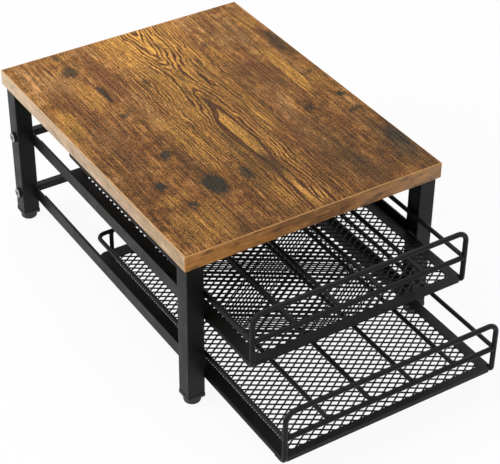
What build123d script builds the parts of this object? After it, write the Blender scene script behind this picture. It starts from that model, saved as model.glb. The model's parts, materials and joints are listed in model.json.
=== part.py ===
from build123d import *
import os

# Coffee capsule holder: a wooden top on a square tube frame, with two wire
# drawers that slide on angle rails. All sizes are in millimetres. X is to the
# right, Y to the back and Z up, as seen from the side where the drawers open.

# Top board and its edge bands
board_width = 330.0
board_depth = 436.0
board_thickness = 19.5
edge_band_thickness = 1.0

# Legs: square steel tube, set in a little from the board's edges
leg_side = 21.0
leg_wall = 1.2
leg_corner_radius = 1.0
leg_inset = 3.7

# Feet: one plastic piece each, with a plug, a square collar and a round pad
foot_pad_diameter = 20.0
foot_pad_height = 8.55
foot_pad_edge_radius = 2.5
foot_collar_height = 4.0
foot_collar_lip = 0.5
foot_plug_height = 14.0
foot_plug_clearance = 0.15

# Mounting plates on top of the legs, and the screws that hold the board
plate_thickness = 2.0
plate_tab_length = 36.0
plate_tab_corner_radius = 5.0
plate_first_screw = 9.0
plate_screw_spacing = 18.0
screw_diameter = 4.0
screw_hole_clearance = 0.25
screw_pilot_clearance = 0.1
screw_pilot_past_tip = 1.0
screw_depth_in_board = 14.0
screw_head_diameter = 8.0
screw_head_height = 2.4

# Side rails: steel angle, with the upright wall level with the legs' inner faces
rail_height = 17.0
rail_wall = 2.0
rail_lip_width = 10.0
rail_rise_above_leg_end = 14.95
tier_pitch = 82.9

# Rear crossbars: square tube with a threaded insert in each end
crossbar_side = 9.0
crossbar_wall = 1.0
crossbar_rise_above_rail_bottom = 11.5
crossbar_behind_leg_centre = 0.0
insert_length = 14.0
insert_clearance = 0.05

# Crossbar bolts: low, slightly tapered cap heads with a hexagon socket
bolt_diameter = 5.0
bolt_hole_clearance = 0.25
bolt_thread_clearance = 0.1
bolt_reach_into_insert = 10.0
bolt_head_diameter = 13.4
bolt_head_height = 3.5
bolt_head_taper = 0.7
bolt_head_edge_radius = 0.6
bolt_socket_across_flats = 4.0
bolt_socket_depth = 2.4

# Drawer wires: the handle hoop and the mid rail are thicker than the others
wire_diameter = 5.2
hoop_wire_diameter = 6.0
hoop_height = 65.6
hoop_top_bend = 12.0
hoop_bottom_bend = 5.0
hoop_tail = 14.0
rim_height = 31.2
rear_bend = 10.0
column_count = 5
rear_strut_inset = 19.1
weld_depth = 1.6

# Drawer floor: a sheet border with an expanded metal panel below it
floor_sheet_thickness = 1.0
floor_edge_past_wire_centre = 0.5
floor_side_border = 12.9
floor_front_border = 8.8
floor_rear_border = 17.0
floor_front_lip_height = 6.1
floor_notch_clearance = 0.3
mesh_thickness = 1.2
mesh_overlap = 5.0
mesh_strand_width = 1.6
mesh_columns = 8
mesh_rows = 17

# Clearances of the drawers in the frame
drawer_side_clearance = 1.2
drawer_running_clearance = 0.3
drawer_stop_clearance = 0.3
drawer_front_setback = 0.4
board_clearance_above_hoop = 8.0

# How far each drawer stands open
upper_drawer_open = 91.1
lower_drawer_open = 154.8

wire_radius = wire_diameter / 2
hoop_wire_radius = hoop_wire_diameter / 2

# Heights, worked upward from the floor
leg_bottom = foot_pad_height + foot_collar_height
lower_rail_bottom = leg_bottom + rail_rise_above_leg_end
upper_rail_bottom = lower_rail_bottom + tier_pitch
runner_above_rail_bottom = rail_wall + drawer_running_clearance + wire_radius
upper_hoop_top = upper_rail_bottom + runner_above_rail_bottom + hoop_height + hoop_wire_radius
board_bottom = upper_hoop_top + board_clearance_above_hoop
leg_top = board_bottom - plate_thickness

# Places of the legs in plan
leg_x = board_width / 2 - leg_inset - leg_side / 2
leg_y = board_depth / 2 - leg_inset - leg_side / 2
frame_inner_x = leg_x - leg_side / 2
leg_front_face = -leg_y - leg_side / 2
crossbar_y = leg_y - crossbar_behind_leg_centre
crossbar_front_face = crossbar_y - crossbar_side / 2

# Drawer size: what fits between the legs and from the front to the crossbar
drawer_half_width = frame_inner_x - drawer_side_clearance - hoop_wire_radius
closed_drawer_front = leg_front_face + drawer_front_setback + hoop_wire_radius
closed_drawer_rear = crossbar_front_face - drawer_stop_clearance - wire_radius
drawer_length = closed_drawer_rear - closed_drawer_front

# The part stands with its footprint's centre on the origin, drawers as they are
front_reach = closed_drawer_front - max(upper_drawer_open, lower_drawer_open) - hoop_wire_radius
footprint_centre_y = (front_reach + board_depth / 2) / 2

corners = {
    "front_left": (-1, -1),
    "front_right": (1, -1),
    "rear_left": (-1, 1),
    "rear_right": (1, 1),
}


def placed(shape):
    """The shape, moved so that the footprint's centre is the origin."""
    return Pos(0, -footprint_centre_y, 0) * shape


def save(name, shape):
    """Write one piece in its place."""
    export_step(placed(shape), f"parts/{name}.step")


def save_group(name, shapes):
    """Write like pieces as one group of separate solids."""
    group = Compound(children=[placed(shape.solid()) for shape in shapes])
    export_step(group, f"parts/{name}.step")


def block(x_range, y_range, z_range):
    """A box between two values on each axis."""
    low = Vector(min(x_range), min(y_range), min(z_range))
    high = Vector(max(x_range), max(y_range), max(z_range))
    size = high - low
    return Pos(*((low + high) / 2)) * Box(size.X, size.Y, size.Z)


def bar(start, end, diameter):
    """A straight round bar from one point to another."""
    along = Vector(*end) - Vector(*start)
    section = Plane(origin=start, z_dir=along) * Circle(diameter / 2)
    return extrude(section, amount=along.length)


def bent_wire(points, bend_radii, diameter):
    """A round wire along straight runs joined by bends."""
    path = FilletPolyline(*points, radius=bend_radii)
    section = Plane(origin=path @ 0, z_dir=path % 0) * Circle(diameter / 2)
    return sweep(section, path=path)


# The frame

def tab_screw_places(side_x, side_y):
    """Where the two screws of one mounting plate stand, in plan."""
    tab_start = side_y * (leg_y - leg_side / 2)
    first = tab_start - side_y * plate_first_screw
    return [(side_x * leg_x, first - side_y * n * plate_screw_spacing) for n in range(2)]


def screw_places():
    return [place for side in corners.values() for place in tab_screw_places(*side)]


def top_board():
    """The board without its bands, with a pilot hole for each screw."""
    half_width = board_width / 2 - edge_band_thickness
    half_depth = board_depth / 2 - edge_band_thickness
    board_top = board_bottom + board_thickness
    board = block((-half_width, half_width), (-half_depth, half_depth), (board_bottom, board_top))
    pilot_diameter = screw_diameter + 2 * screw_pilot_clearance
    pilot_top = board_bottom + screw_depth_in_board + screw_pilot_past_tip
    for x, y in screw_places():
        board -= bar((x, y, board_bottom), (x, y, pilot_top), pilot_diameter)
    return board


def front_or_rear_edge_band(side_y):
    """A band over the whole width, which covers the side bands' ends."""
    outer = side_y * board_depth / 2
    inner = outer - side_y * edge_band_thickness
    heights = (board_bottom, board_bottom + board_thickness)
    return block((-board_width / 2, board_width / 2), (inner, outer), heights)


def side_edge_band(side_x):
    outer = side_x * board_width / 2
    inner = outer - side_x * edge_band_thickness
    half_depth = board_depth / 2 - edge_band_thickness
    heights = (board_bottom, board_bottom + board_thickness)
    return block((inner, outer), (-half_depth, half_depth), heights)


def square_tube(side, wall, length, corner_radius):
    """A square tube that stands on the origin along Z."""
    outer = RectangleRounded(side, side, corner_radius)
    inner = Rectangle(side - 2 * wall, side - 2 * wall)
    return extrude(outer - inner, amount=length)


def leg(side_x, side_y):
    """One leg. A rear leg also has a hole through it for each crossbar bolt."""
    tube = square_tube(leg_side, leg_wall, leg_top - leg_bottom, leg_corner_radius)
    tube = Pos(side_x * leg_x, side_y * leg_y, leg_bottom) * tube
    if side_y > 0:
        hole_diameter = bolt_diameter + 2 * bolt_hole_clearance
        for z in crossbar_heights():
            outer_x = side_x * (leg_x + leg_side / 2)
            inner_x = side_x * frame_inner_x
            tube -= bar((outer_x, crossbar_y, z), (inner_x, crossbar_y, z), hole_diameter)
    return tube


def foot(side_x, side_y):
    """A foot: its plug stands in the leg and its collar meets the leg's end."""
    pad = Cylinder(foot_pad_diameter / 2, foot_pad_height, align=(Align.CENTER, Align.CENTER, Align.MIN))
    pad = fillet(pad.edges().group_by(Axis.Z)[0], foot_pad_edge_radius)
    collar_side = leg_side + 2 * foot_collar_lip
    collar_outline = RectangleRounded(collar_side, collar_side, leg_corner_radius + foot_collar_lip)
    collar = Pos(0, 0, foot_pad_height) * extrude(collar_outline, amount=foot_collar_height)
    plug_side = leg_side - 2 * leg_wall - 2 * foot_plug_clearance
    plug = Pos(0, 0, leg_bottom) * extrude(Rectangle(plug_side, plug_side), amount=foot_plug_height)
    return Pos(side_x * leg_x, side_y * leg_y, 0) * (pad + collar + plug)


def mounting_plate(side_x, side_y):
    """A plate welded on a leg's top, with a tab inward along the board's depth."""
    tab_end = side_y * (leg_y - leg_side / 2 - plate_tab_length)
    outer = side_y * (leg_y + leg_side / 2)
    x_range = (side_x * leg_x - leg_side / 2, side_x * leg_x + leg_side / 2)
    plate = block(x_range, (tab_end, outer), (leg_top, board_bottom))
    tab_corners = plate.edges().filter_by(Axis.Z).group_by(Axis.Y)[0 if side_y > 0 else -1]
    plate = fillet(tab_corners, plate_tab_corner_radius)
    hole_diameter = screw_diameter + 2 * screw_hole_clearance
    for x, y in tab_screw_places(side_x, side_y):
        plate -= bar((x, y, leg_top), (x, y, board_bottom), hole_diameter)
    return plate


def board_screw(x, y):
    """A pan head screw, up through a plate's tab into the board."""
    head = bar((x, y, leg_top - screw_head_height), (x, y, leg_top), screw_head_diameter)
    shank = bar((x, y, leg_top), (x, y, board_bottom + screw_depth_in_board), screw_diameter)
    return head + shank


def side_rail(side_x, rail_bottom):
    """An angle between the front and rear leg, with its lip under the runner."""
    web_inner = side_x * frame_inner_x
    web_outer = web_inner + side_x * rail_wall
    lip_inner = web_inner - side_x * rail_lip_width
    length = (-leg_y + leg_side / 2, leg_y - leg_side / 2)
    web = block((web_inner, web_outer), length, (rail_bottom, rail_bottom + rail_height))
    lip = block((lip_inner, web_outer), length, (rail_bottom, rail_bottom + rail_wall))
    return web + lip


def crossbar_heights():
    return [bottom + crossbar_rise_above_rail_bottom for bottom in (lower_rail_bottom, upper_rail_bottom)]


def rear_crossbar(z):
    """A square tube between the rear legs, which also stops a closed drawer."""
    tube = square_tube(crossbar_side, crossbar_wall, 2 * frame_inner_x, crossbar_wall / 2)
    return Pos(-frame_inner_x, crossbar_y, z) * Rot(0, 90, 0) * tube


def crossbar_insert(side_x, z):
    """A threaded block in a crossbar's end."""
    side = crossbar_side - 2 * crossbar_wall - 2 * insert_clearance
    outer = side_x * frame_inner_x
    inner = outer - side_x * insert_length
    half = side / 2
    insert = block((inner, outer), (crossbar_y - half, crossbar_y + half), (z - half, z + half))
    bore_diameter = bolt_diameter + 2 * bolt_thread_clearance
    return insert - bar((inner, crossbar_y, z), (outer, crossbar_y, z), bore_diameter)


def crossbar_bolt(side_x, z):
    """A low cap head bolt through a rear leg into a crossbar's insert."""
    shank_radius = bolt_diameter / 2
    head_radius = bolt_head_diameter / 2
    shank_length = leg_side + bolt_reach_into_insert
    outline = Polyline(
        (0, bolt_head_height),
        (0, -shank_length),
        (shank_radius, -shank_length),
        (shank_radius, 0),
        (head_radius, 0),
        (head_radius - bolt_head_taper, bolt_head_height),
        close=True,
    )
    bolt = revolve(Plane.XZ * make_face(outline), Axis.Z)
    head_rim = bolt.edges().group_by(Axis.Z)[-1]
    bolt = fillet(head_rim, bolt_head_edge_radius)
    socket_outline = RegularPolygon(bolt_socket_across_flats / 2, 6, major_radius=False)
    socket_bottom = bolt_head_height - bolt_socket_depth
    bolt -= Pos(0, 0, socket_bottom) * extrude(socket_outline, amount=bolt_socket_depth)
    return Pos(side_x * (leg_x + leg_side / 2), crossbar_y, z) * Rot(0, 90 * side_x, 0) * bolt


# The drawers

def handle_hoop(front, runner_z):
    """The two front posts, the handle bar over them and the bends below them.

    The tails' tops are level with the thinner floor wire's, so the floor lies flat.
    """
    tail = front + hoop_tail
    tail_z = runner_z + wire_radius - hoop_wire_radius
    top = runner_z + hoop_height
    points = [
        (-drawer_half_width, tail, tail_z),
        (-drawer_half_width, front, tail_z),
        (-drawer_half_width, front, top),
        (drawer_half_width, front, top),
        (drawer_half_width, front, tail_z),
        (drawer_half_width, tail, tail_z),
    ]
    bends = [hoop_bottom_bend, hoop_top_bend, hoop_top_bend, hoop_bottom_bend]
    return bent_wire(points, bends, hoop_wire_diameter)


def u_shaped_wire(start_y, rear, z):
    """A wire along the left side, the rear and the right side of a drawer."""
    points = [
        (-drawer_half_width, start_y, z),
        (-drawer_half_width, rear, z),
        (drawer_half_width, rear, z),
        (drawer_half_width, start_y, z),
    ]
    return bent_wire(points, [rear_bend, rear_bend], wire_diameter)


def welded_bar(start, end, diameter, *neighbours):
    """A bar whose ends are shaped to the round wires that they are welded to.

    Start and end are the neighbours' centre points, so each end stops short of
    that centre and is then hollowed to the neighbour's surface.
    """
    along = (Vector(*end) - Vector(*start)).normalized() * (diameter / 2 - weld_depth)
    shaped = bar(Vector(*start) + along, Vector(*end) - along, diameter)
    for neighbour in neighbours:
        shaped -= neighbour
    return shaped


def divider_places():
    column_width = 2 * drawer_half_width / column_count
    return [-drawer_half_width + n * column_width for n in range(1, column_count)]


def strut_places():
    return [-drawer_half_width + rear_strut_inset, drawer_half_width - rear_strut_inset]


def floor_border(front, rear, runner_z):
    """The sheet round the floor's mesh, with a lip turned down at the front."""
    bottom = runner_z + wire_radius
    top = bottom + floor_sheet_thickness
    half_width = drawer_half_width + floor_edge_past_wire_centre
    rear_edge = rear + floor_edge_past_wire_centre
    sheet = block((-half_width, half_width), (front, rear_edge), (bottom, top))
    rear_corners = sheet.edges().filter_by(Axis.Z).group_by(Axis.Y)[-1]
    sheet = fillet(rear_corners, rear_bend + floor_edge_past_wire_centre)

    opening_half_width = drawer_half_width - floor_side_border
    opening_y = (front + floor_front_border, rear - floor_rear_border)
    sheet -= block((-opening_half_width, opening_half_width), opening_y, (bottom, top))

    between_posts = drawer_half_width - hoop_wire_radius - floor_notch_clearance
    notch_end = front + hoop_bottom_bend + floor_notch_clearance
    for side_x in (-1, 1):
        notch_x = (side_x * between_posts, side_x * half_width)
        sheet -= block(notch_x, (front, notch_end), (bottom, top))
    for x in strut_places():
        half_notch = wire_radius + floor_notch_clearance
        notch_y = (rear - half_notch, rear_edge)
        sheet -= block((x - half_notch, x + half_notch), notch_y, (bottom, top))

    lip_y = (front, front + floor_sheet_thickness)
    lip = block((-between_posts, between_posts), lip_y, (top - floor_front_lip_height, top))
    return sheet + lip


def diamond(centre_x, centre_y, half_long, half_short, x_limits, y_limits):
    """A mesh opening, cut off square where it would pass the panel's limits."""
    tips = [
        (centre_x + half_long, centre_y),
        (centre_x, centre_y + half_short),
        (centre_x - half_long, centre_y),
        (centre_x, centre_y - half_short),
    ]
    inside = [
        (min(max(x, x_limits[0]), x_limits[1]), min(max(y, y_limits[0]), y_limits[1]))
        for x, y in tips
    ]
    return Wire.make_polygon([(x, y, 0) for x, y in dict.fromkeys(inside)], close=True)


def floor_mesh(front, rear, runner_z):
    """The expanded metal panel under the border: offset rows of diamonds."""
    x_limits = (-drawer_half_width + floor_side_border, drawer_half_width - floor_side_border)
    y_limits = (front + floor_front_border, rear - floor_rear_border)
    pitch_x = (x_limits[1] - x_limits[0]) / mesh_columns
    pitch_y = (y_limits[1] - y_limits[0]) / mesh_rows
    diagonal = (pitch_x**2 + pitch_y**2) ** 0.5
    open_share = 1 - mesh_strand_width * diagonal / (pitch_x * pitch_y)
    half_long = pitch_x / 2 * open_share
    half_short = pitch_y / 2 * open_share

    openings = []
    for column in range(mesh_columns):
        for row in range(mesh_rows):
            centre = (x_limits[0] + (column + 0.5) * pitch_x, y_limits[0] + (row + 0.5) * pitch_y)
            openings.append(diamond(*centre, half_long, half_short, x_limits, y_limits))
    for column in range(mesh_columns + 1):
        for row in range(mesh_rows + 1):
            centre = (x_limits[0] + column * pitch_x, y_limits[0] + row * pitch_y)
            openings.append(diamond(*centre, half_long, half_short, x_limits, y_limits))

    panel_x = (x_limits[0] - mesh_overlap, x_limits[1] + mesh_overlap)
    panel_y = (y_limits[0] - mesh_overlap, y_limits[1] + mesh_overlap)
    outline = Wire.make_polygon([(x, y, 0) for x, y in (
        (panel_x[0], panel_y[0]),
        (panel_x[1], panel_y[0]),
        (panel_x[1], panel_y[1]),
        (panel_x[0], panel_y[1]),
    )], close=True)
    panel = extrude(Face(outline, openings), amount=mesh_thickness, dir=(0, 0, 1))
    return Pos(0, 0, runner_z + wire_radius - mesh_thickness) * panel


def save_drawer(name, open_distance, rail_bottom):
    """Build and write every piece of one drawer, at the distance it stands open."""
    front = closed_drawer_front - open_distance
    rear = front + drawer_length
    runner_z = rail_bottom + runner_above_rail_bottom
    rim_z = runner_z + rim_height

    hoop = handle_hoop(front, runner_z)
    floor_wire = u_shaped_wire(front + hoop_tail, rear, runner_z)
    rim_ends = [(side_x * drawer_half_width, front, rim_z) for side_x in (-1, 1)]
    mid_rail = welded_bar(*rim_ends, hoop_wire_diameter, hoop)
    rim_start = front + wire_radius - weld_depth
    rim_wire = u_shaped_wire(rim_start, rear, rim_z) - hoop - mid_rail

    save(f"{name}_handle_hoop", hoop)
    save(f"{name}_floor_wire", floor_wire)
    save(f"{name}_mid_rail", mid_rail)
    save(f"{name}_rim_wire", rim_wire)
    for number, x in enumerate(divider_places(), start=1):
        divider = welded_bar((x, front, rim_z), (x, rear, rim_z), wire_diameter, mid_rail, rim_wire)
        save(f"{name}_divider_{number}", divider)
    for side, x in zip(("left", "right"), strut_places()):
        strut = welded_bar((x, rear, runner_z), (x, rear, rim_z), wire_diameter, floor_wire, rim_wire)
        save(f"{name}_rear_strut_{side}", strut)
    save(f"{name}_floor_border", floor_border(front, rear, runner_z))
    save(f"{name}_floor_mesh", floor_mesh(front, rear, runner_z))


os.makedirs("parts", exist_ok=True)

save("top_board", top_board())
save("edge_band_front", front_or_rear_edge_band(-1))
save("edge_band_rear", front_or_rear_edge_band(1))
save("edge_band_left", side_edge_band(-1))
save("edge_band_right", side_edge_band(1))
save_group("board_screws", [board_screw(x, y) for x, y in screw_places()])

for corner, side in corners.items():
    save(f"leg_{corner}", leg(*side))
    save(f"foot_{corner}", foot(*side))
    save(f"mounting_plate_{corner}", mounting_plate(*side))

for tier, rail_bottom in (("lower", lower_rail_bottom), ("upper", upper_rail_bottom)):
    save(f"{tier}_rail_left", side_rail(-1, rail_bottom))
    save(f"{tier}_rail_right", side_rail(1, rail_bottom))
    save(f"{tier}_rear_crossbar", rear_crossbar(rail_bottom + crossbar_rise_above_rail_bottom))

crossbar_ends = [(side_x, z) for side_x in (-1, 1) for z in crossbar_heights()]
save_group("crossbar_inserts", [crossbar_insert(side_x, z) for side_x, z in crossbar_ends])
save_group("crossbar_bolts", [crossbar_bolt(side_x, z) for side_x, z in crossbar_ends])

save_drawer("upper_drawer", upper_drawer_open, upper_rail_bottom)
save_drawer("lower_drawer", lower_drawer_open, lower_rail_bottom)
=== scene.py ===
import json
import math

import bmesh
import bpy
from mathutils import Matrix, Vector


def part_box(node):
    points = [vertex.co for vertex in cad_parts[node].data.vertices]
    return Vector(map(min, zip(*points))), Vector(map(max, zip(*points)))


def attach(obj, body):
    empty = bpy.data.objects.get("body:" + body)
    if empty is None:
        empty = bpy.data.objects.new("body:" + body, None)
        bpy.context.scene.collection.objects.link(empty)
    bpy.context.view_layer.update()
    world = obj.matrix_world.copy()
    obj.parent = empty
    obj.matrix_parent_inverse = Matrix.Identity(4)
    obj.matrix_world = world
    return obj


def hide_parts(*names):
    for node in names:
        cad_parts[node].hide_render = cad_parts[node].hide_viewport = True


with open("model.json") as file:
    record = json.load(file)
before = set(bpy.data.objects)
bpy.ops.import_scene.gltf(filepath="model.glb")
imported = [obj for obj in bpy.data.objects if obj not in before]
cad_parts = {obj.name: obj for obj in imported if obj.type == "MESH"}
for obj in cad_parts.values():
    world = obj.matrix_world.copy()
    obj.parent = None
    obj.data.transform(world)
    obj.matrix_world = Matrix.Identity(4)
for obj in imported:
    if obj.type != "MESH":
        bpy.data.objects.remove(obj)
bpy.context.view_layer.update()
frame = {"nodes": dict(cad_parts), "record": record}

# The frame's own boxes, in metres. X is to the right, Y to the back, Z up.
board_low, board_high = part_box("top_board")
board_centre = (board_low + board_high) / 2
board_size = board_high - board_low
MM = 0.001
DRAWERS = ("upper_drawer", "lower_drawer")

# Camera, as in the photograph: its place in metres from the centre of the board's top,
# its angles in degrees and its lens in mm
CAMERA_FROM_BOARD_TOP = Vector((-0.81073, -1.34695, 0.99371))
CAMERA_TURN = 32.6757
CAMERA_TILT = 36.4711
CAMERA_ROLL = 0.6526
CAMERA_LENS = 115.8

# Stage: the floor's width in metres, how white the camera sees it, and the light.
# Each lamp has a place and a width in metres, and a power in watts.
FLOOR_WIDTH = 12.0
FLOOR_WHITENESS = 0.92
WORLD_LIGHT = 0.5
LAMPS = {
    "key from the left": ((-1.7, 0.4, 1.5), 1.4, 28),
    "top light": ((0.2, 0.3, 2.0), 1.6, 12),
}

# Floor mesh: the expanded metal's real openings, placed from the mesh's middle and front edge.
# An opening's rear tip lies lower than its other three by the strands' tilt.
OPENING_LONG = 13.73 * MM
OPENING_SHORT = 9.0 * MM
OPENING_FROM_MIDDLE = {"upper_drawer": 0.3 * MM, "lower_drawer": -1.9 * MM}
OPENING_FROM_FRONT = 3.9 * MM
STRAND_WIDTH = 1.6 * MM
STRAND_TILT = 0.22 * MM

# Edge bands
BAND_EDGE_RADIUS = 0.6 * MM
BAND_EDGE_STEPS = 4

# Weld beads: how far one stands out as a share of its height, where it sits as a share of the
# wire's radius, and the points round the wire and round the bead
BEAD_RADIUS = 0.75 * MM
BEAD_OUTWARD_SHARE = 0.8
BEAD_INSET_SHARE = 0.6
BEAD_POINTS_ROUND_WIRE = 20
BEAD_POINTS_ROUND_BEAD = 8

# Edges sharper than these many degrees stay crisp
CRISP_NODE_EDGES = 35
CRISP_BAND_EDGES = 40
CRISP_BEAD_EDGES = 60


def colour(red, green, blue):
    """A colour written as it looks on a screen, from 0 to 255, in linear light."""
    def linear(value):
        value = value / 255
        return value / 12.92 if value <= 0.04045 else ((value + 0.055) / 1.055) ** 2.4
    return (linear(red), linear(green), linear(blue), 1.0)


# Material graphs

class Graph:
    """A material's node graph, built one node at a time. Lengths are in mm."""

    def __init__(self, name):
        self.material = bpy.data.materials.new(name)
        self.material.use_nodes = True
        self.tree = self.material.node_tree
        self.shader = self.tree.nodes["Principled BSDF"]

    def node(self, kind, inputs=(), **settings):
        made = self.tree.nodes.new(kind)
        for name, value in settings.items():
            setattr(made, name, value)
        for key, value in dict(inputs).items():
            self.feed(made.inputs[key], value)
        return made

    def feed(self, socket, value):
        """Link a socket to another node's output, or set it to a plain value."""
        if isinstance(value, bpy.types.NodeSocket):
            self.tree.links.new(value, socket)
        else:
            socket.default_value = value

    def math(self, operation, *values):
        made = self.node("ShaderNodeMath", dict(enumerate(values)), operation=operation)
        return made.outputs[0]

    def total(self, first, *others):
        for value in others:
            first = self.math("ADD", first, value)
        return first

    def centred(self, value, amount):
        """Noise from 0 to 1, turned into noise on both sides of zero with this range."""
        return self.math("MULTIPLY_ADD", value, amount, -amount / 2)

    def vector(self, operation, first, second):
        made = self.node("ShaderNodeVectorMath", {0: first, 1: second}, operation=operation)
        return made.outputs[0]

    def scale(self, vector, factor):
        """A vector or colour times a number."""
        made = self.node("ShaderNodeVectorMath", {0: vector, "Scale": factor}, operation="SCALE")
        return made.outputs[0]

    def length(self, vector):
        made = self.node("ShaderNodeVectorMath", {0: vector}, operation="LENGTH")
        return made.outputs["Value"]

    def place(self, centre):
        """The surface point in mm from a centre given in metres. It stays with the piece."""
        point = self.node("ShaderNodeTexCoord").outputs["Object"]
        moved = self.vector("SUBTRACT", point, tuple(centre))
        return self.vector("MULTIPLY", moved, (1 / MM, 1 / MM, 1 / MM))

    def split(self, vector):
        return self.node("ShaderNodeSeparateXYZ", {0: vector}).outputs

    def join(self, x, y, z):
        return self.node("ShaderNodeCombineXYZ", {0: x, 1: y, 2: z}).outputs[0]

    def noise(self, point, sizes, detail=2.0, roughness=0.5):
        """Smooth noise from 0 to 1 whose features have these sizes along X, Y and Z."""
        scaled = self.vector("DIVIDE", point, sizes)
        inputs = {"Vector": scaled, "Scale": 1.0, "Detail": detail, "Roughness": roughness}
        return self.node("ShaderNodeTexNoise", inputs).outputs["Fac"]

    def remap(self, value, low, high, to_low=0.0, to_high=1.0, smooth=True):
        """A value between low and high, turned into one between to_low and to_high."""
        kind = "SMOOTHSTEP" if smooth else "LINEAR"
        inputs = {
            "Value": value,
            "From Min": low,
            "From Max": high,
            "To Min": to_low,
            "To Max": to_high,
        }
        return self.node("ShaderNodeMapRange", inputs, interpolation_type=kind).outputs["Result"]

    def mix(self, share, first, second):
        made = self.node("ShaderNodeMix", data_type="RGBA")
        self.feed(made.inputs["Factor"], share)
        colours = [socket for socket in made.inputs if socket.type == "RGBA"]
        self.feed(colours[0], first)
        self.feed(colours[1], second)
        return [socket for socket in made.outputs if socket.type == "RGBA"][0]

    def ramp(self, value, stops, easing="LINEAR"):
        """Colours along a value: each stop is a position and a colour."""
        made = self.node("ShaderNodeValToRGB", {"Fac": value})
        made.color_ramp.interpolation = easing
        elements = made.color_ramp.elements
        for number, (position, shade) in enumerate(stops):
            element = elements[number] if number < 2 else elements.new(position)
            element.position = position
            element.color = shade
        return made.outputs["Color"]

    def profile(self, value, points):
        """A number that eases through these points, each a place and a number."""
        first, last = points[0][0], points[-1][0]
        low = min(number for _, number in points)
        rise = max(number for _, number in points) - low
        stops = []
        for place, number in points:
            grey = (number - low) / rise
            stops.append(((place - first) / (last - first), (grey, grey, grey, 1.0)))
        share = self.ramp(self.remap(value, first, last, smooth=False), stops, easing="EASE")
        return self.math("MULTIPLY_ADD", share, rise, low)

    def contours(self, field, along, spacing, dark_share):
        """Lines along a field's contours, this many mm apart, each faint in places: 1 is darkest."""
        steps = self.math("DIVIDE", field, spacing)
        way = self.math("FRACT", steps)
        rise = self.remap(way, 1.0 - dark_share, 1.0 - dark_share * 0.6)
        fall = self.remap(way, 0.92, 1.0, 1.0, 0.0)
        # Each line reads its own row of the noise, so that each fades in other places
        own_row = self.math("MULTIPLY", self.math("FLOOR", steps), 7.3)
        own_noise = self.noise(self.join(own_row, along, 0.0), (1.0, 55.0, 1.0))
        strength = self.remap(own_noise, 0.36, 0.52, 0.35, 1.0)
        return self.math("MULTIPLY", self.math("MULTIPLY", rise, fall), strength)

    def bump(self, height, depth, strength):
        """A normal from a height from 0 to 1, this many mm deep."""
        inputs = {"Height": height, "Distance": depth * MM, "Strength": strength}
        return self.node("ShaderNodeBump", inputs).outputs["Normal"]

    def finish(self, **inputs):
        """Feed the shader's inputs, with underscores for the spaces in their names."""
        for name, value in inputs.items():
            self.feed(self.shader.inputs[name.replace("_", " ")], value)
        return self.material


# Wood print on the board's top, with lengths in mm from the board's centre

WOOD_SHADES = (
    (0.0, colour(80, 52, 24)),
    (0.25, colour(110, 72, 34)),
    (0.5, colour(140, 95, 46)),
    (0.75, colour(166, 117, 64)),
    (1.0, colour(190, 141, 86)),
)
GOLD = colour(186, 135, 64)
REDDISH_BROWN = colour(126, 78, 46)
LINE_BROWN = colour(74, 43, 24)
SHADE_BROWN = colour(76, 55, 31)
CHARCOAL = colour(42, 42, 33)

# The flame figure leans to the right towards the rear. Its half width changes along Y,
# and is below zero between two flames. The growth lines straighten beyond its reach.
FLAME_X = 8.0
FLAME_LEAN = 0.025
FLAME_SOFTNESS = 3.0
FLAME_HALF_WIDTHS = (
    (-218, 10), (-170, 9), (-125, 7), (-98, 13), (-64, 18), (-24, 16), (2, 9), (24, 5),
    (44, 3), (60, -2), (84, -6), (110, -5), (138, 3), (165, 8), (190, 12), (218, 17),
)
FLAME_REACH = 26.0

# A dark outline lies inside the flame's rim: its widths on the left and the right, and the
# share of them that it has along Y. Then the spacing of the growth lines.
OUTLINE_WIDTHS = (11.0, 5.0)
OUTLINE_SHARES = ((-160, 0.4), (-115, 1.0), (135, 1.0), (160, 0.3))
BOLD_LINE_SPACING = 5.6
THIN_LINE_SPACING = 3.4

# Each spot: x, y, half width, half length and strength
KNOTS = (
    (-97, 170, 9, 13, 0.8),
    (-85, 105, 3.5, 22, 0.9),
    (-88, 50, 5, 5, 0.8),
    (-88, -45, 6, 8, 0.95),
    (-122, -96, 7, 7, 1.0),
    (-109, -141, 6, 7, 0.95),
    (-70, -122, 12, 21, 1.0),
    (-31, 100, 4, 10, 0.7),
    (-30, -122, 7, 14, 0.8),
    (78, 143, 6, 6, 0.4),
    (104, 20, 9, 8, 0.35),
    (104, -47, 5, 8, 0.8),
    (153, -40, 5, 6, 1.0),
    (150, -75, 12, 3.5, 0.9),
    (146, 23, 8, 4, 0.6),
    (155, -150, 12, 22, 0.85),
    (149, -174, 10, 20, 0.6),
    (161, -128, 4, 8, 0.6),
    (154, 104, 6, 24, 0.5),
    (88, -156, 4, 26, 0.4),
    (-97, 209, 4, 9, 0.7),
    (-83, 180, 3, 13, 0.5),
)
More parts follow.
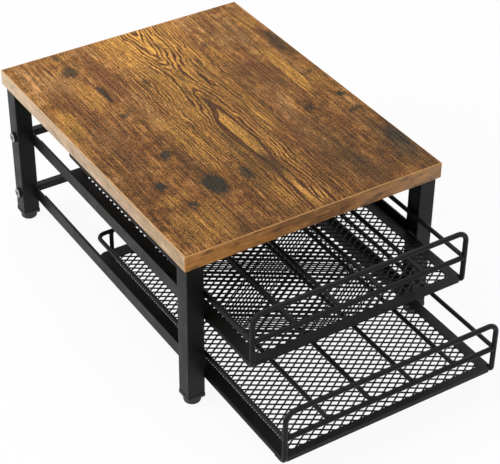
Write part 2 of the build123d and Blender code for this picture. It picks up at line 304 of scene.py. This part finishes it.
DARK_PATCHES = (
    (150, -160, 18, 70, 1.0),
    (157, 98, 12, 36, 0.85),
    (84, -140, 26, 90, 0.75),
    (104, 160, 12, 36, 0.5),
    (123, 145, 13, 38, 0.6),
    (124, -172, 26, 30, 0.45),
    (148, -95, 18, 26, 0.7),
    (150, -172, 14, 26, 0.5),
    (94, -180, 16, 38, 0.85),
    (-75, 42, 8, 26, 0.5),
    (-150, 18, 11, 28, 0.4),
    (4, -58, 12, 44, 0.25),
    (-74, -100, 14, 56, 0.5),
    (-126, 0, 16, 78, 0.5),
    (-150, -55, 14, 55, 0.3),
    (92, 40, 22, 48, 0.35),
    (-80, -195, 22, 24, 0.35),
    (-128, 125, 16, 40, 0.3),
    (-13, -72, 5, 46, 0.8),
    (-18, -110, 5, 16, 0.5),
    (4, -120, 12, 26, 1.0),
    (0, -142, 5, 14, 0.6),
    (-25, -135, 10, 24, 0.35),
    (17, -68, 3, 22, 0.7),
    (28, 169, 9, 5, 0.7),
    (11, 142, 4, 6, 0.8),
    (33, 152, 4, 16, 0.6),
    (10, 28, 4, 16, 0.8),
    (-10, 34, 3.5, 9, 0.7),
    (0, 58, 3.5, 14, 0.8),
    (13, -72, 3, 20, 0.8),
    (40, 8, 4, 26, 0.6),
    (-12, 120, 4, 18, 0.6),
)
GOLDEN_PATCHES = (
    (6, -42, 10, 48, 1.0),
    (-4, 88, 7, 40, 1.0),
    (28, -107, 4, 46, 1.0),
    (-16, -176, 5, 22, 0.8),
    (16, 190, 12, 28, 0.9),
    (0, 182, 54, 52, 0.65),
    (150, 168, 13, 18, 0.7),
    (32, 165, 14, 40, 0.7),
    (50, 112, 11, 44, 0.8),
    (50, 5, 10, 80, 0.5),
    (-150, 62, 12, 34, 0.9),
    (-100, 205, 16, 10, 0.6),
    (76, 105, 10, 30, 0.6),
    (150, 8, 8, 40, 0.4),
    (-128, -124, 12, 12, 0.5),
    (14, -196, 6, 14, 0.7),
    (-100, -178, 14, 36, 0.45),
    (2, -185, 8, 30, 0.3),
    (128, 14, 9, 30, 1.0),
    (131, 66, 8, 38, 1.0),
    (-103, 108, 12, 40, 0.7),
    (-98, 176, 14, 10, 0.6),
    (-157, 40, 7, 46, 0.6),
    (-50, -35, 15, 64, 0.9),
    (-128, -180, 20, 34, 0.4),
)
REDDISH_PATCHES = (
    (-120, 50, 18, 110, 0.8),
    (-66, 135, 10, 84, 0.9),
    (-112, 120, 22, 60, 0.5),
    (100, 60, 20, 50, 0.4),
    (52, -100, 12, 60, 0.4),
)


def spots(g, point, places, softness):
    """How strongly a list of soft oval spots covers each point, from 0 to 1."""
    strongest = None
    for x, y, half_x, half_y, strength in places:
        from_centre = g.vector("SUBTRACT", point, (x, y, 0.0))
        distance = g.length(g.vector("DIVIDE", from_centre, (half_x, half_y, 1.0)))
        spot = g.remap(distance, 1.0 - softness, 1.0 + softness, strength, 0.0)
        strongest = g.math("MAXIMUM", strongest, spot) if strongest else spot
    return strongest


def flame_distance(g, flat, x, y):
    """How far a point is from the flame's axis and outside its outline, in mm."""
    half_width = g.profile(y, FLAME_HALF_WIDTHS)
    across = g.total(
        g.math("SUBTRACT", x, g.math("MULTIPLY_ADD", y, FLAME_LEAN, FLAME_X)),
        g.centred(g.noise(flat, (70.0, 110.0, 1.0), detail=1.0), 12.0),
        g.centred(g.noise(flat, (14.0, 44.0, 1.0)), 11.0),
        g.centred(g.noise(flat, (5.0, 24.0, 1.0)), 4.0),
    )
    square = g.math("MULTIPLY", across, across)
    from_axis = g.math("SQRT", g.math("ADD", square, FLAME_SOFTNESS ** 2))
    push = g.math("DIVIDE", FLAME_REACH ** 2, g.math("ADD", square, FLAME_REACH ** 2))
    return across, g.math("SUBTRACT", from_axis, g.math("MULTIPLY", half_width, push))


def growth_lines(g, y, across, outside):
    """How dark the growth lines are: bold ones beside the flame, finer ones further out."""
    on_left = g.remap(across, -32.0, -16.0)
    on_right = g.remap(across, 30.0, 46.0, 1.0, 0.0)
    beside = g.math("MULTIPLY", on_left, on_right)
    bold = g.math("MULTIPLY", g.contours(outside, y, BOLD_LINE_SPACING, 0.6), beside)
    away = g.math("ABSOLUTE", across)
    further = g.math("MULTIPLY", g.remap(away, 14.0, 34.0), g.remap(away, 50.0, 95.0, 0.8, 0.3))
    thin = g.math("MULTIPLY", g.contours(outside, y, THIN_LINE_SPACING, 0.7), further)
    lines = g.math("MAXIMUM", bold, thin)
    width = g.remap(across, -7.0, 1.0, *OUTLINE_WIDTHS)
    width = g.math("MULTIPLY", width, g.profile(y, OUTLINE_SHARES))
    not_inside = g.remap(g.math("ADD", outside, width), -1.0, 0.5)
    outline = g.math("MULTIPLY", not_inside, g.remap(outside, -0.5, 1.0, 0.9, 0.0))
    allowed = g.math("MAXIMUM", not_inside, g.remap(y, 140.0, 165.0))
    return g.math("MAXIMUM", g.math("MULTIPLY", lines, allowed), outline)


def wood_body(g, flat, y, streaks, near_flame):
    """The boards' brown, before any line, knot or stain. It is lighter to the rear."""
    columns = g.noise(flat, (24.0, 300.0, 1.0))
    blotches = g.noise(flat, (55.0, 90.0, 1.0), detail=4.0, roughness=0.62)
    mottle = g.noise(flat, (8.0, 13.0, 1.0), detail=3.0, roughness=0.6)
    tone = g.total(
        g.math("MULTIPLY_ADD", y, 0.0008, 0.5),
        g.centred(columns, 0.8),
        g.centred(blotches, 1.9),
        g.centred(mottle, 1.5),
        g.centred(streaks, 1.7),
    )
    reddish = g.remap(g.noise(flat, (20.0, 120.0, 1.0)), 0.45, 0.7, 0.0, 0.4)
    body = g.mix(reddish, g.ramp(tone, WOOD_SHADES), REDDISH_BROWN)
    return g.mix(near_flame, body, GOLD)


def wood_top():
    """Rustic boards along Y, with a flame figure, knots and grey-green stains."""
    g = Graph("wood print")
    x, y, _ = g.split(g.place(board_centre))
    flat = g.join(x, y, 0.0)
    streaks = g.noise(flat, (4.0, 80.0, 1.0), detail=3.0, roughness=0.6)
    fine = g.noise(flat, (2.2, 70.0, 1.0), detail=3.0, roughness=0.75)
    across, outside = flame_distance(g, flat, x, y)
    away = g.math("ABSOLUTE", across)
    more_to_rear = g.math("MULTIPLY_ADD", y, 0.0014, 0.52)
    near_flame = g.math("MULTIPLY", g.remap(away, 26.0, 64.0, 1.0, 0.0), more_to_rear)
    body = wood_body(g, flat, y, streaks, near_flame)

    # Spots with ragged rims
    ragged = g.centred(g.noise(flat, (6.0, 12.0, 1.0), detail=5.0, roughness=0.75), 22.0)
    torn = g.join(g.math("ADD", x, ragged), g.math("MULTIPLY_ADD", ragged, 1.6, y), 0.0)
    knots = spots(g, torn, KNOTS, 0.3)
    reddish = g.math("MULTIPLY", spots(g, torn, REDDISH_PATCHES, 0.6), 0.6)
    body = g.mix(reddish, body, REDDISH_BROWN)
    golden = g.math("MULTIPLY", spots(g, torn, GOLDEN_PATCHES, 0.35), 0.8)
    body = g.mix(golden, body, GOLD)

    # Growth lines, which bend round the knots
    outside = g.math("MULTIPLY_ADD", knots, 8.0, outside)
    lines = growth_lines(g, y, across, outside)
    body = g.mix(lines, body, LINE_BROWN)

    # Stains, knots and pores, thinner where the print is worn
    worn = g.remap(streaks, 0.4, 0.62, 0.5, 1.0)
    stains = g.math("MULTIPLY", spots(g, torn, DARK_PATCHES, 0.45), worn)
    body = g.mix(stains, body, SHADE_BROWN)
    body = g.mix(g.math("MULTIPLY", knots, 0.95), body, CHARCOAL)
    pores = g.remap(g.noise(flat, (1.4, 9.0, 1.0)), 0.54, 0.68, 0.0, 0.6)
    body = g.mix(pores, body, LINE_BROWN)

    # Fine grain, and lighter wood at the rear of the flame
    speckle = g.noise(flat, (1.6, 3.0, 1.0), roughness=0.75)
    at_rear = g.remap(y, 95.0, 165.0, 0.0, 0.5)
    lighter = g.math("MULTIPLY", at_rear, g.remap(away, 50.0, 85.0, 1.0, 0.1))
    body = g.scale(body, g.total(1.0, g.centred(fine, 4.4), g.centred(speckle, 4.2), lighter))

    relief = g.math("SUBTRACT", fine, g.math("MULTIPLY", lines, 0.8))
    return g.finish(
        Base_Color=body,
        Roughness=g.remap(fine, 0.3, 0.7, 0.45, 0.58),
        Specular_IOR_Level=0.12,
        Normal=g.bump(relief, 0.12, 0.5),
    )


# Edge bands: shades from left to right, or from front to rear

BROWN_BAND_SHADES = (
    (0.0, colour(196, 132, 66)),
    (0.22, colour(184, 124, 60)),
    (0.42, colour(146, 98, 52)),
    (0.6, colour(150, 102, 56)),
    (0.75, colour(184, 134, 84)),
    (1.0, colour(182, 138, 96)),
)
# The side bands' shades from front to rear: the brown print made paler as a painted sheen, and lighter
# towards the rear as painted light
SHEEN_BAND_SHADES = (
    (0.0, colour(174, 146, 112)),
    (0.45, colour(174, 149, 120)),
    (0.7, colour(186, 158, 127)),
    (1.0, colour(202, 176, 142)),
)


def edge_band(name, axis, shades, dark, light, top_highlight):
    """A mottled wood print band along X or Y, with a thin painted highlight along its top edge."""
    g = Graph(name)
    x, y, z = g.split(g.place(board_centre))
    run, half_length = (x, board_size.x / 2 / MM) if axis == "X" else (y, board_size.y / 2 / MM)
    flat = g.join(run, z, 0.0)
    mottle = g.noise(flat, (22.0, 13.0, 1.0), detail=3.0, roughness=0.6)
    streaks = g.noise(flat, (60.0, 3.0, 1.0), detail=3.0, roughness=0.65)
    drift = g.centred(g.noise(flat, (45.0, 14.0, 1.0)), 0.6)
    place = g.math("ADD", g.remap(run, -half_length, half_length, smooth=False), drift)
    tone = g.math("ADD", g.centred(mottle, 2.6), g.centred(streaks, 2.2))
    body = g.ramp(place, shades)
    body = g.mix(g.remap(tone, 0.05, 0.6, 0.0, 0.85), body, dark)
    body = g.mix(g.remap(tone, -0.05, -0.6, 0.0, 0.85), body, light)
    half_height = board_size.z / 2 / MM
    # Painted highlight: a thin golden line along the band's rounded top edge
    body = g.mix(g.remap(z, half_height - 1.3, half_height - 0.4, 0.0, 0.8), body, top_highlight)
    return g.finish(
        Base_Color=body,
        Roughness=g.remap(streaks, 0.2, 0.8, 0.45, 0.6),
        Specular_IOR_Level=0.35,
        Normal=g.bump(streaks, 0.05, 0.5),
    )


def brown_band():
    """The front and rear bands, about as dark as the top."""
    return edge_band(
        "brown edge band", "X", BROWN_BAND_SHADES,
        dark=colour(96, 66, 42),
        light=colour(214, 152, 84),
        top_highlight=colour(196, 146, 88),
    )


def sheen_painted_band():
    """The left and right bands: the brown print made paler as a painted sheen, and lighter towards the
    rear as painted light.
    """
    return edge_band(
        "edge band with painted sheen", "Y", SHEEN_BAND_SHADES,
        dark=colour(140, 122, 96),
        light=colour(216, 180, 150),
        top_highlight=colour(196, 152, 100),
    )


def powder_coat():
    """Satin black powder coat with a fine orange peel."""
    g = Graph("black powder coat")
    point = g.place((0.0, 0.0, 0.0))
    peel = g.noise(point, (0.9, 0.9, 0.9))
    cloud = g.noise(point, (22.0, 22.0, 22.0))
    return g.finish(
        Base_Color=g.mix(cloud, colour(9, 9, 9), colour(16, 16, 15)),
        Roughness=g.remap(cloud, 0.3, 0.7, 0.4, 0.5),
        Specular_IOR_Level=0.2,
        Normal=g.bump(peel, 0.03, 0.35),
    )


def black_plastic():
    """Moulded plastic with a fine spark finish."""
    g = Graph("black plastic")
    point = g.place((0.0, 0.0, 0.0))
    grain = g.noise(point, (0.5, 0.5, 0.5), detail=3.0, roughness=0.7)
    return g.finish(
        Base_Color=g.mix(grain, colour(24, 25, 24), colour(34, 35, 34)),
        Roughness=g.remap(grain, 0.3, 0.7, 0.5, 0.68),
        Normal=g.bump(grain, 0.04, 0.5),
    )


def zinc_steel():
    """Zinc-plated steel with fine marks and a faint cloudiness."""
    g = Graph("zinc steel")
    point = g.place((0.0, 0.0, 0.0))
    marks = g.noise(point, (0.35, 0.35, 0.35), detail=3.0)
    cloud = g.noise(point, (3.0, 3.0, 3.0))
    return g.finish(
        Base_Color=g.mix(cloud, colour(168, 168, 166), colour(206, 206, 204)),
        Metallic=1.0,
        Roughness=g.remap(marks, 0.3, 0.7, 0.3, 0.42),
        Normal=g.bump(marks, 0.02, 0.4),
    )


def black_steel():
    """Blackened steel, with a painted highlight on the outer ends of the bolts' heads."""
    g = Graph("black steel")
    point = g.place((0.0, 0.0, 0.0))
    x, _, _ = g.split(point)
    head_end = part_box("crossbar_bolts")[1].x / MM
    marks = g.noise(point, (0.35, 0.35, 0.35), detail=3.0)
    # Painted highlight: the heads' outer ends are made light grey steel, as if lit from the side
    painted_highlight_share = g.remap(g.math("ABSOLUTE", x), head_end - 0.7, head_end - 0.2)
    highlight_steel = g.mix(marks, colour(140, 140, 140), colour(178, 178, 176))
    return g.finish(
        Base_Color=g.mix(painted_highlight_share, colour(34, 34, 35), highlight_steel),
        Metallic=1.0,
        Roughness=g.remap(marks, 0.3, 0.7, 0.36, 0.48),
        Normal=g.bump(marks, 0.02, 0.4),
    )


def dress(piece, material):
    piece.data.materials.clear()
    piece.data.materials.append(material)


def smooth(piece, angle):
    """Smooth shading, with edges sharper than this many degrees kept crisp."""
    piece.data.shade_smooth()
    piece.data.set_sharp_from_angle(angle=math.radians(angle))


def new_piece(name, shape, material, body):
    """A mesh object made from a bmesh, in place, which rides on a body."""
    mesh = bpy.data.meshes.new(name)
    shape.to_mesh(mesh)
    shape.free()
    piece = bpy.data.objects.new(name, mesh)
    bpy.context.scene.collection.objects.link(piece)
    dress(piece, material)
    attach(piece, body)
    return piece


# Pieces

def band_piece(node, material):
    """An edge band with rounded outer edges, in its CAD node's box."""
    low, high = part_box(node)
    size = high - low
    middle = (low + high) / 2
    shape = bmesh.new()
    bmesh.ops.create_cube(shape, size=1.0)
    bmesh.ops.scale(shape, vec=size, verts=shape.verts)
    bmesh.ops.translate(shape, vec=middle, verts=shape.verts)
    thin_axis = 0 if size.x < size.y else 1
    outward = 1 if middle[thin_axis] > board_centre[thin_axis] else -1
    outer = [v for v in shape.verts if (v.co[thin_axis] - middle[thin_axis]) * outward > 0]
    edges = [e for e in shape.edges if all(v in outer for v in e.verts)]
    rounding = {"offset": BAND_EDGE_RADIUS, "segments": BAND_EDGE_STEPS, "profile": 0.5}
    bmesh.ops.bevel(shape, geom=edges, affect="EDGES", **rounding)
    piece = new_piece(f"{node}_rounded", shape, material, "frame")
    smooth(piece, CRISP_BAND_EDGES)
    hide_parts(node)


def diamonds(shape, low, high, from_middle):
    """Flat strands round offset rows of diamond openings, past all four sides of a box."""
    half_long = OPENING_LONG / 2
    half_short = OPENING_SHORT / 2
    diagonal = math.hypot(OPENING_LONG, OPENING_SHORT)
    open_share = 1 - STRAND_WIDTH * diagonal / (OPENING_LONG * OPENING_SHORT)
    tips = {
        "left": (-half_long * open_share, 0),
        "right": (half_long * open_share, 0),
        "front": (0, -half_short * open_share),
        "rear": (0, half_short * open_share),
    }
    start_x = (low.x + high.x) / 2 + from_middle
    start_y = low.y + OPENING_FROM_FRONT
    made = {}

    def tip(opening, side):
        """One corner of an opening, whose column and row are counted in half pitches."""
        if (opening, side) not in made:
            column, row = opening
            x = start_x + column * half_long + tips[side][0]
            y = start_y + row * half_short + tips[side][1]
            z = high.z - (STRAND_TILT if side == "rear" else 0.0)
            made[opening, side] = shape.verts.new((x, y, z))
        return made[opening, side]

    first_column = math.floor((low.x - start_x) / half_long) - 1
    last_column = math.ceil((high.x - start_x) / half_long) + 1
    first_row = math.floor((low.y - start_y) / half_short) - 1
    last_row = math.ceil((high.y - start_y) / half_short) + 1
    for column in range(first_column, last_column + 1):
        for row in range(first_row, last_row + 1):
            # Openings stand where the sum is even, and strands cross where it is odd
            if (column + row) % 2 == 0:
                continue
            left, right = (column - 1, row), (column + 1, row)
            front, rear = (column, row - 1), (column, row + 1)
            crossing = (tip(left, "right"), tip(front, "rear"), tip(right, "left"), tip(rear, "front"))
            to_right = (tip(rear, "front"), tip(right, "left"), tip(right, "rear"), tip(rear, "right"))
            to_left = (tip(rear, "left"), tip(left, "rear"), tip(left, "right"), tip(rear, "front"))
            for corners in (crossing, to_right, to_left):
                shape.faces.new(corners)


def expanded_mesh(drawer, material):
    """The floor's expanded metal, sheared off at its four edges, with tilted strands."""
    low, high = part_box(f"{drawer}_floor_mesh")
    shape = bmesh.new()
    diamonds(shape, low, high, OPENING_FROM_MIDDLE[drawer])
    cuts = ((low, (-1, 0, 0)), (low, (0, -1, 0)), (high, (1, 0, 0)), (high, (0, 1, 0)))
    for corner, outward in cuts:
        sheet = shape.verts[:] + shape.edges[:] + shape.faces[:]
        bmesh.ops.bisect_plane(shape, geom=sheet, plane_co=corner, plane_no=outward, clear_outer=True)
    bmesh.ops.recalc_face_normals(shape, faces=shape.faces)
    thickness = high.z - low.z - STRAND_TILT
    lower = bmesh.ops.extrude_face_region(shape, geom=shape.faces[:])
    lower_points = [item for item in lower["geom"] if isinstance(item, bmesh.types.BMVert)]
    bmesh.ops.translate(shape, vec=(0.0, 0.0, -thickness), verts=lower_points)
    bmesh.ops.recalc_face_normals(shape, faces=shape.faces)
    piece = new_piece(f"{drawer}_expanded_metal", shape, material, drawer)
    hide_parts(f"{drawer}_floor_mesh")


def weld_bead(shape, place, axis, ring_radius):
    """A lumpy ring of weld metal round a wire's end. Each bead's lumps follow from its place."""
    along_wire = Vector((0, 0, 1)).rotation_difference(Vector(axis)).to_matrix()
    rings = []
    for step in range(BEAD_POINTS_ROUND_WIRE):
        angle = 2 * math.pi * step / BEAD_POINTS_ROUND_WIRE
        large_lumps = 0.22 * math.sin(3 * angle + 900 * place.x)
        small_lumps = 0.12 * math.sin(7 * angle + 700 * place.y)
        bead_radius = BEAD_RADIUS * (1 + large_lumps + small_lumps)
        ring = []
        for ring_step in range(BEAD_POINTS_ROUND_BEAD):
            ring_angle = 2 * math.pi * ring_step / BEAD_POINTS_ROUND_BEAD
            radius = ring_radius + bead_radius * math.cos(ring_angle) * BEAD_OUTWARD_SHARE
            height = bead_radius * math.sin(ring_angle)
            point = Vector((radius * math.cos(angle), radius * math.sin(angle), height))
            ring.append(shape.verts.new(place + along_wire @ point))
        rings.append(ring)
    for ring, following in zip(rings, rings[1:] + rings[:1]):
        for near in range(BEAD_POINTS_ROUND_BEAD):
            far = (near + 1) % BEAD_POINTS_ROUND_BEAD
            shape.faces.new((ring[near], following[near], following[far], ring[far]))


def drawer_welds(drawer, material):
    """Beads where the dividers, the mid rail and the struts meet their wires."""
    shape = bmesh.new()
    # Each wire's direction: 0 is X, 1 is Y and 2 is Z
    wires = {f"{drawer}_mid_rail": 0}
    wires.update({f"{drawer}_divider_{number}": 1 for number in range(1, 5)})
    wires.update({f"{drawer}_rear_strut_{side}": 2 for side in ("left", "right")})
    for node, along in wires.items():
        low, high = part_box(node)
        radius = min(high - low) / 2
        axis = [1 if number == along else 0 for number in range(3)]
        for end, inward in ((low, 1), (high, -1)):
            place = (low + high) / 2
            place[along] = end[along] + inward * radius * BEAD_INSET_SHARE
            weld_bead(shape, place, axis, radius)
    # The beads are ground level with the hoop's front and the floor wire's rear
    hoop_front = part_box(f"{drawer}_handle_hoop")[0].y
    wire_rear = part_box(f"{drawer}_floor_wire")[1].y
    for vert in shape.verts:
        vert.co.y = min(max(vert.co.y, hoop_front), wire_rear)
    bmesh.ops.recalc_face_normals(shape, faces=shape.faces)
    piece = new_piece(f"{drawer}_weld_beads", shape, material, drawer)
    smooth(piece, CRISP_BEAD_EDGES)


def dress_frame():
    """Every CAD node gets its material, and the bands, floors and welds are made."""
    materials = {
        "wood_print": wood_top(),
        "edge_band_brown": brown_band(),
        "edge_band_pale": sheen_painted_band(),
        "black_powder_coat": powder_coat(),
        "black_plastic": black_plastic(),
        "zinc_steel": zinc_steel(),
        "black_steel": black_steel(),
    }
    slots = {entry["node"]: entry["material_slot"] for entry in frame["record"]["subparts"]}
    for node, slot in slots.items():
        piece = frame["nodes"][node]
        dress(piece, materials[slot])
        smooth(piece, CRISP_NODE_EDGES)
    for side in ("front", "rear", "left", "right"):
        node = f"edge_band_{side}"
        band_piece(node, materials[slots[node]])
    for drawer in DRAWERS:
        expanded_mesh(drawer, materials["black_powder_coat"])
        drawer_welds(drawer, materials["black_powder_coat"])


# Stage

def white_for_the_camera(tree, surface, share):
    """Mix a surface with plain white where the camera, glass or a reflection sees it."""
    path = tree.nodes.new("ShaderNodeLightPath")
    seen = path.outputs["Is Camera Ray"]
    for ray in ("Is Glossy Ray", "Is Transmission Ray"):
        either = tree.nodes.new("ShaderNodeMath")
        either.operation = "MAXIMUM"
        tree.links.new(seen, either.inputs[0])
        tree.links.new(path.outputs[ray], either.inputs[1])
        seen = either.outputs[0]
    strength = tree.nodes.new("ShaderNodeMath")
    strength.operation = "MULTIPLY"
    tree.links.new(seen, strength.inputs[0])
    strength.inputs[1].default_value = share
    white = tree.nodes.new("ShaderNodeEmission")
    mix = tree.nodes.new("ShaderNodeMixShader")
    tree.links.new(strength.outputs[0], mix.inputs[0])
    tree.links.new(surface, mix.inputs[1])
    tree.links.new(white.outputs[0], mix.inputs[2])
    return mix.outputs[0]


def build_floor():
    """A wide pale floor that stays white but keeps a faint shadow."""
    bpy.ops.mesh.primitive_plane_add(size=FLOOR_WIDTH)
    floor = bpy.context.object
    floor.name = "floor"
    material = bpy.data.materials.new("pale floor")
    material.use_nodes = True
    tree = material.node_tree
    surface = tree.nodes["Principled BSDF"]
    surface.inputs["Base Color"].default_value = colour(242, 242, 242)
    surface.inputs["Roughness"].default_value = 0.9
    surface.inputs["Specular IOR Level"].default_value = 0.1
    shown = white_for_the_camera(tree, surface.outputs[0], FLOOR_WHITENESS)
    tree.links.new(shown, tree.nodes["Material Output"].inputs["Surface"])
    dress(floor, material)


def build_world():
    """White for the camera, and a soft even light for the object."""
    world = bpy.data.worlds.new("studio")
    bpy.context.scene.world = world
    world.use_nodes = True
    tree = world.node_tree
    soft = tree.nodes["Background"]
    soft.inputs["Color"].default_value = (1.0, 1.0, 1.0, 1.0)
    soft.inputs["Strength"].default_value = WORLD_LIGHT
    shown = white_for_the_camera(tree, soft.outputs[0], 1.0)
    tree.links.new(shown, tree.nodes["World Output"].inputs["Surface"])


def build_lamps():
    """Square soft lamps that aim at the object's middle."""
    middle = Vector((board_centre.x, board_centre.y, board_high.z / 2))
    for name, (place, width, power) in LAMPS.items():
        light = bpy.data.lights.new(name, "AREA")
        light.shape = "SQUARE"
        light.size = width
        light.energy = power
        lamp = bpy.data.objects.new(name, light)
        bpy.context.scene.collection.objects.link(lamp)
        lamp.location = place
        lamp.rotation_euler = (middle - Vector(place)).to_track_quat("-Z", "Y").to_euler()


def build_camera():
    """The photograph's camera, found from the object's own corners."""
    turn = math.radians(CAMERA_TURN)
    tilt = math.radians(CAMERA_TILT)
    roll = math.radians(CAMERA_ROLL)
    level_forward = Vector((math.sin(turn), math.cos(turn), 0.0))
    forward = level_forward * math.cos(tilt) - Vector((0.0, 0.0, math.sin(tilt)))
    level_right = Vector((math.cos(turn), -math.sin(turn), 0.0))
    level_up = level_right.cross(forward)
    right = math.cos(roll) * level_right + math.sin(roll) * level_up
    up = math.cos(roll) * level_up - math.sin(roll) * level_right
    data = bpy.data.cameras.new("camera")
    data.sensor_width = 36.0
    data.sensor_fit = "HORIZONTAL"
    data.lens = CAMERA_LENS
    camera = bpy.data.objects.new("camera", data)
    bpy.context.scene.collection.objects.link(camera)
    board_top = Vector((board_centre.x, board_centre.y, board_high.z))
    place = board_top + CAMERA_FROM_BOARD_TOP
    turn_matrix = Matrix((right, up, -forward)).transposed().to_4x4()
    camera.matrix_world = Matrix.Translation(place) @ turn_matrix
    bpy.context.scene.camera = camera


dress_frame()
build_floor()
build_world()
build_lamps()
build_camera()
bpy.context.scene.view_settings.view_transform = "Standard"
